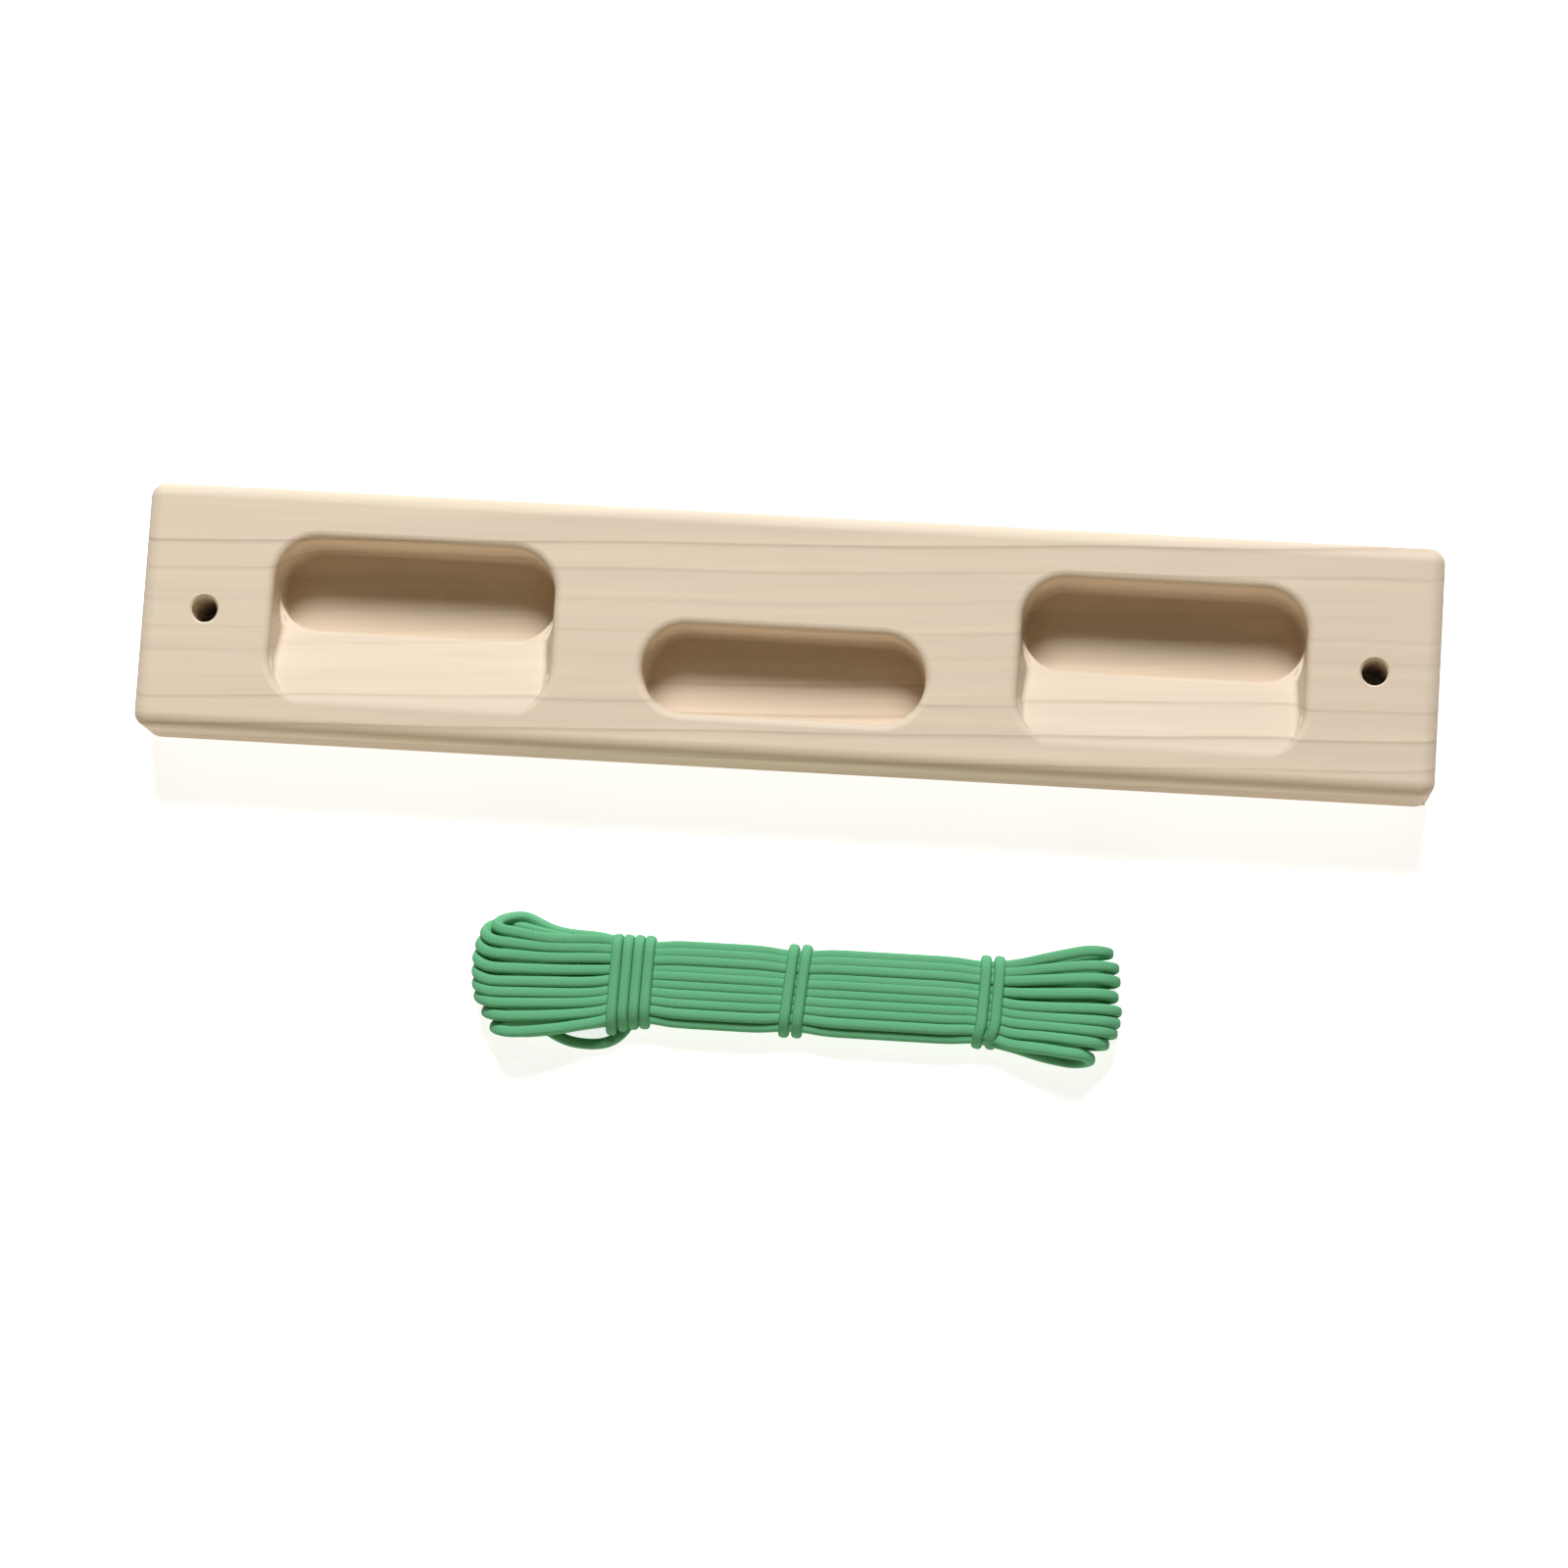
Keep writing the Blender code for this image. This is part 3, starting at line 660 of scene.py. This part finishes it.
def make_cord(name, points, green, nodes):
    """Cord: a section carried along its line, with ring k at arc length k times the step.

    Side and up directions at each ring are square to the line. The side starts level and is carried
    along by taking away its part along the line, and turns slowly back to level, so the tube hardly
    twists. The section is a circle pressed a little square, a superellipse, with cosine and sine to
    the power of two over its squareness, and it tapers at both melted ends. The map holds turns
    round the cord in U and distance in circumferences in V, for the braid.
    """
    line = smoothed(evenly(to_world(points), RING_STEP), SMOOTH_ROUNDS)
    ahead = np.gradient(line, axis=0)
    ahead /= np.linalg.norm(ahead, axis=1)[:, None]
    side = np.empty_like(line)
    carried = np.cross(ahead[0], (0.0, 0.0, 1.0))
    for k, direction in enumerate(ahead):
        carried[2] *= 1 - LEVELLING
        carried = carried - direction * np.dot(carried, direction)
        carried /= np.linalg.norm(carried)
        side[k] = carried
    up = np.cross(side, ahead)
    turn = np.linspace(0, 2 * pi, CORD_SIDES, endpoint=False)
    radius = TUBE_DIAMETER / 2
    across = np.sign(np.cos(turn)) * np.abs(np.cos(turn)) ** (2 / SQUARENESS)
    height = np.sign(np.sin(turn)) * np.abs(np.sin(turn)) ** (2 / SQUARENESS)
    around = side[:, None] * across[None, :, None] + up[:, None] * height[None, :, None]
    taper = np.ones(len(line))
    taper[:2] = MELTED_END
    taper[-2:] = MELTED_END[::-1]
    rings = line[:, None] + radius * around * taper[:, None, None]
    faces = ring_faces(len(line), CORD_SIDES)
    piece = mesh_piece(name, rings.reshape(-1, 3), faces)
    close_mesh(piece)
    mesh = piece.data
    mesh.shade_smooth()
    mesh.set_sharp_from_angle(angle=CORD_CREASE)
    travelled = np.concatenate([[0.0], np.cumsum(np.linalg.norm(np.diff(line, axis=0), axis=1))])
    wrap_map(mesh, CORD_SIDES, travelled / (pi * TUBE_DIAMETER))
    mesh.materials.append(green)
    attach(piece, "cord")
    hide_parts(*nodes)


def wrap_map(mesh, sides, distance):
    """UV map of a tube: U from each corner's place in its ring, V from its ring's distance."""
    layer = mesh.uv_layers.new(name="wrap")
    corners = np.empty(len(mesh.loops), dtype=np.int32)
    mesh.loops.foreach_get("vertex_index", corners)
    starts = np.empty(len(mesh.polygons), dtype=np.int32)
    totals = np.empty(len(mesh.polygons), dtype=np.int32)
    mesh.polygons.foreach_get("loop_start", starts)
    mesh.polygons.foreach_get("loop_total", totals)
    place = corners % sides
    ring = corners // sides
    polygon = np.repeat(np.arange(len(starts)), totals)
    groove_shade = np.zeros(len(starts), dtype=bool)
    np.maximum.at(groove_shade, polygon, place == sides - 1)
    wraps = groove_shade[polygon] & (place == 0)
    turns = (place + sides * wraps) / sides
    layer.data.foreach_set("uv", np.stack([turns, distance[ring]], axis=1).astype(np.float32).ravel())


def principled(name, roughness, specular):
    """Material with its principled shader's roughness and specular level set."""
    made = bpy.data.materials.new(name)
    made.use_nodes = True
    shader = made.node_tree.nodes["Principled BSDF"]
    shader.inputs["Roughness"].default_value = roughness
    shader.inputs["Specular IOR Level"].default_value = specular
    return made, made.node_tree, shader


def add_node(tree, kind, inputs, **settings):
    """Node of a kind with its properties set; each input is given a value or linked to a socket."""
    node = tree.nodes.new(kind)
    for key, value in settings.items():
        setattr(node, key, value)
    for key, value in inputs.items():
        if isinstance(value, bpy.types.NodeSocket):
            tree.links.new(value, node.inputs[key])
        else:
            node.inputs[key].default_value = value
    return node


def maths(tree, operation, *values):
    """Result of one operation on values or sockets."""
    node = add_node(tree, "ShaderNodeMath", dict(enumerate(values)), operation=operation)
    return node.outputs[0]


def blend(tree, share, first, second):
    """Mixes two colours by a share."""
    inputs = {MIX_SHARE: share, MIX_COLOURS[0]: first, MIX_COLOURS[1]: second}
    return add_node(tree, "ShaderNodeMix", inputs, data_type="RGBA").outputs[MIX_COLOUR_RESULT]


def stretch(tree, value, ends, most):
    """Share that rises from 0 to the most while a value goes from one end to the other."""
    node = add_node(tree, "ShaderNodeMapRange", {"Value": value, "From Min": ends[0],
                                                 "From Max": ends[1], "To Max": most})
    return node.outputs[0]


def noise(tree, place, kind):
    """Noise over a place, each of whose coordinates is divided by the size that the kind gives it."""
    shrunk = [maths(tree, "MULTIPLY", along, 1 / size) for along, size in zip(place, kind["size"])]
    spot = add_node(tree, "ShaderNodeCombineXYZ", dict(enumerate(shrunk)))
    made = add_node(tree, "ShaderNodeTexNoise", {"Vector": spot.outputs[0], "Scale": 1.0,
                                                 "Detail": kind["detail"], "Roughness": NOISE_ROUGHNESS})
    return made.outputs["Fac"]


def add_bump(tree, shader, height, bump):
    """Bump on a shader from a height."""
    node = add_node(tree, "ShaderNodeBump", {"Height": height, "Strength": bump["strength"],
                                             "Distance": bump["distance"]})
    tree.links.new(node.outputs[0], shader.inputs["Normal"])


def object_place(tree):
    """Object coordinates, as the three sockets x, y and z."""
    place = tree.nodes.new("ShaderNodeTexCoord").outputs["Object"]
    return list(add_node(tree, "ShaderNodeSeparateXYZ", {0: place}).outputs)


def new_group(name, inputs, outputs):
    """Shader node group with float or colour sockets, and its input and output nodes."""
    tree = bpy.data.node_groups.new(name, "ShaderNodeTree")
    for label, kind in inputs:
        tree.interface.new_socket(label, in_out="INPUT", socket_type=kind)
    for label, kind in outputs:
        tree.interface.new_socket(label, in_out="OUTPUT", socket_type=kind)
    return tree, tree.nodes.new("NodeGroupInput"), tree.nodes.new("NodeGroupOutput")


def wood_figure_group():
    """Figure of plain-sawn wood from its place: thin year lines, soft bands and fine fibre streaks.

    The year coordinate is the place across the board, less a part of the place along it, plus a
    part of the depth, plus a slow wave. All figure is stretched along the board.
    """
    tree, given, result = new_group("wood_figure", [("Place", "NodeSocketVector")],
                                    [("Color", "NodeSocketColor"), ("Height", "NodeSocketFloat")])
    parts = add_node(tree, "ShaderNodeSeparateXYZ", {0: given.outputs["Place"]})
    x, y, z = parts.outputs
    wave = noise(tree, (x, y, z), YEAR_WAVE)
    wave = maths(tree, "MULTIPLY_ADD", wave, WAVE_HEIGHT, -WAVE_HEIGHT / 2)
    year = maths(tree, "MULTIPLY_ADD", x, -YEAR_SLANT, y)
    year = maths(tree, "MULTIPLY_ADD", z, YEAR_TILT, year)
    year = maths(tree, "ADD", year, wave)

    share = maths(tree, "MULTIPLY_ADD", year, 1 / YEAR_SPAN, 0.5)
    lines = add_node(tree, "ShaderNodeValToRGB", {"Fac": share})
    ramp = lines.color_ramp
    for stop in ramp.elements:
        stop.color = (0.0, 0.0, 0.0, 1.0)
    for place, strength, width in YEAR_LINES:
        for offset, grey in ((-LINE_LEAD * width, 0.0), (0.0, strength), (LINE_TAIL * width, 0.0)):
            stop = ramp.elements.new((place + offset) / YEAR_SPAN + 0.5)
            stop.color = (grey, grey, grey, 1.0)
    fading = maths(tree, "ADD", noise(tree, (x, year), LINE_FADING), LEAST_LINE)
    line_share = maths(tree, "MULTIPLY", lines.outputs["Color"], fading)

    bands = noise(tree, (x, year), SOFT_BANDS)
    streaks = noise(tree, (x, year, z), FINE_STREAKS)
    fibres = noise(tree, (x, year, z), WOOD_FIBRES)
    # Painted shade: the bands turn pinker and darker towards the right, for the light falling off across
    # the board
    bands = maths(tree, "MULTIPLY_ADD", x, -PAINTED_FALLOFF_LEAN, bands)
    colour = blend(tree, stretch(tree, bands, BAND_ENDS, 1.0), WOOD_PINK, WOOD_CREAM)
    colour = blend(tree, stretch(tree, streaks, STREAK_ENDS, STREAK_SHARE), colour, WOOD_STREAK)
    colour = blend(tree, line_share, colour, WOOD_LINE)
    tree.links.new(colour, result.inputs["Color"])
    tree.links.new(maths(tree, "MULTIPLY_ADD", streaks, -STREAK_DENT, fibres), result.inputs["Height"])
    return tree


def wood_material():
    """Sanded, unvarnished pale wood."""
    made, tree, shader = principled("pale_wood", WOOD_ROUGHNESS, WOOD_SPECULAR)
    place = tree.nodes.new("ShaderNodeTexCoord").outputs["Object"]
    figure = tree.nodes.new("ShaderNodeGroup")
    figure.node_tree = wood_figure_group()
    tree.links.new(place, figure.inputs["Place"])
    tree.links.new(figure.outputs["Color"], shader.inputs["Base Color"])
    add_bump(tree, shader, figure.outputs["Height"], WOOD_BUMP)
    return made


def braid_group():
    """Braid on a cord: two sets of strands that cross at a slant and go over and under by turns."""
    tree, given, result = new_group("braid", [("Wrap", "NodeSocketVector")],
                                    [("Height", "NodeSocketFloat")])
    parts = add_node(tree, "ShaderNodeSeparateXYZ", {0: given.outputs["Wrap"]})
    around = maths(tree, "MULTIPLY", parts.outputs[0], float(BRAID_STRANDS))
    along = maths(tree, "MULTIPLY", parts.outputs[1], BRAID_STRANDS * BRAID_SLANT)
    first = maths(tree, "ADD", around, along)
    second = maths(tree, "SUBTRACT", around, along)
    parity = maths(tree, "ADD", maths(tree, "FLOOR", first), maths(tree, "FLOOR", second))
    parity = maths(tree, "PINGPONG", parity, 1.0)
    heights = [maths(tree, "ABSOLUTE", maths(tree, "SINE", maths(tree, "MULTIPLY", line, pi)))
               for line in (first, second)]
    inputs = {MIX_SHARE: parity, MIX_NUMBERS[0]: heights[0], MIX_NUMBERS[1]: heights[1]}
    over = add_node(tree, "ShaderNodeMix", inputs)
    tree.links.new(over.outputs[MIX_NUMBER_RESULT], result.inputs["Height"])
    return tree


def cord_material():
    """Green braided cord, matt, with faint lighter and darker lengths, and painted shade in the braid's
    grooves.
    """
    made, tree, shader = principled("green_cord", CORD_ROUGHNESS, CORD_SPECULAR)
    wrap = add_node(tree, "ShaderNodeUVMap", {}, uv_map="wrap")
    braid = tree.nodes.new("ShaderNodeGroup")
    braid.node_tree = braid_group()
    tree.links.new(wrap.outputs[0], braid.inputs["Wrap"])
    colour = blend(tree, noise(tree, object_place(tree), CORD_LENGTHS), CORD_LIGHT, CORD_TEAL)
    # Painted shade: the braid's low grooves are darkened towards the darkest green
    groove_shade = maths(tree, "MULTIPLY_ADD", braid.outputs["Height"], -BRAID_SHADE, BRAID_SHADE)
    colour = blend(tree, groove_shade, colour, CORD_GROOVE_SHADE)
    tree.links.new(colour, shader.inputs["Base Color"])
    add_bump(tree, shader, braid.outputs["Height"], CORD_BUMP)
    return made


def floor_material():
    """White that glows, more so to the camera, except under the board: shadows on it stay faint."""
    made, tree, shader = principled("floor_white", FLOOR_ROUGHNESS, FLOOR_SPECULAR)
    shader.inputs["Base Color"].default_value = (*FLOOR_COLOUR, 1.0)
    shader.inputs["Emission Color"].default_value = (*WHITE, 1.0)
    camera_ray = tree.nodes.new("ShaderNodeLightPath").outputs["Is Camera Ray"]
    glow = maths(tree, "MULTIPLY_ADD", camera_ray, FLOOR_LIFT, FLOOR_GLOW)
    past_edge = [maths(tree, "GREATER_THAN", maths(tree, "ABSOLUTE", along), size / 2 - UNDER_BOARD)
                 for along, size in zip(object_place(tree), (BOARD_LENGTH, BOARD_HEIGHT))]
    glow = maths(tree, "MULTIPLY", glow, maths(tree, "MAXIMUM", *past_edge))
    tree.links.new(glow, shader.inputs["Emission Strength"])
    return made


def make_stage():
    """Square floor round the origin."""
    half = FLOOR_HALF_SIZE
    corners = [(-half, -half, 0), (half, -half, 0), (half, half, 0), (-half, half, 0)]
    floor = mesh_piece("floor", np.array(corners, dtype=float), [[0, 1, 2, 3]])
    floor.data.materials.append(floor_material())


def make_light():
    """Main light from beyond the board's top edge, a low warm fill opposite it and a weak sky."""
    world = bpy.data.worlds.new("studio")
    bpy.context.scene.world = world
    world.use_nodes = True
    world.node_tree.nodes["Background"].inputs["Color"].default_value = (*SKY_COLOUR, 1.0)
    world.node_tree.nodes["Background"].inputs["Strength"].default_value = SKY_STRENGTH
    add_lamp("main", MAIN_PLACE, MAIN_SIZE, MAIN_WATTS, WHITE)
    add_lamp("fill", FILL_PLACE, FILL_SIZE, FILL_WATTS, FILL_COLOUR)


def add_lamp(name, place, size, watts, colour):
    """Round lamp aimed at the board."""
    light = bpy.data.lights.new(name, "AREA")
    light.shape = "DISK"
    light.size = size
    light.energy = watts
    light.color = colour
    lamp = bpy.data.objects.new(name, light)
    lamp.location = place
    lamp.rotation_euler = (-place).to_track_quat("-Z", "Y").to_euler()
    bpy.context.scene.collection.objects.link(lamp)


def make_camera():
    """Camera at its place; its axes are right, up and back, each square to the others."""
    camera = bpy.data.objects.new("camera", bpy.data.cameras.new("camera"))
    bpy.context.scene.collection.objects.link(camera)
    camera.data.sensor_width = SENSOR_WIDTH
    camera.data.lens = SENSOR_WIDTH * FOCAL_PIXELS / PHOTO_WIDTH
    back = -CAMERA_VIEW.normalized()
    right = CAMERA_UP.cross(back).normalized()
    up = back.cross(right)
    turned = Matrix((right, up, back)).transposed()
    camera.matrix_world = Matrix.Translation(CAMERA_PLACE) @ turned.to_4x4()
    bpy.context.scene.camera = camera


def main():
    """Camera, stage and light, then the cord and the board."""
    make_camera()
    make_stage()
    make_light()
    green = cord_material()
    side_loop = [(x, y, FLOOR_Z) for x, y in SIDE_LOOP + [SIDE_LOOP_END]]
    make_cord("hank_loops", hank_path(), green, ["cord_hank"])
    make_cord("left_turns", winding_path(LEFT_WINDING, side_loop), green, ["cord_left_winding"])
    make_cord("middle_turns", winding_path(MIDDLE_WINDING, []), green, ["cord_middle_winding"])
    make_cord("right_turns", winding_path(RIGHT_WINDING, []), green, ["cord_right_winding"])
    make_board(wood_material())
    bpy.context.scene.view_settings.view_transform = "Standard"


main()
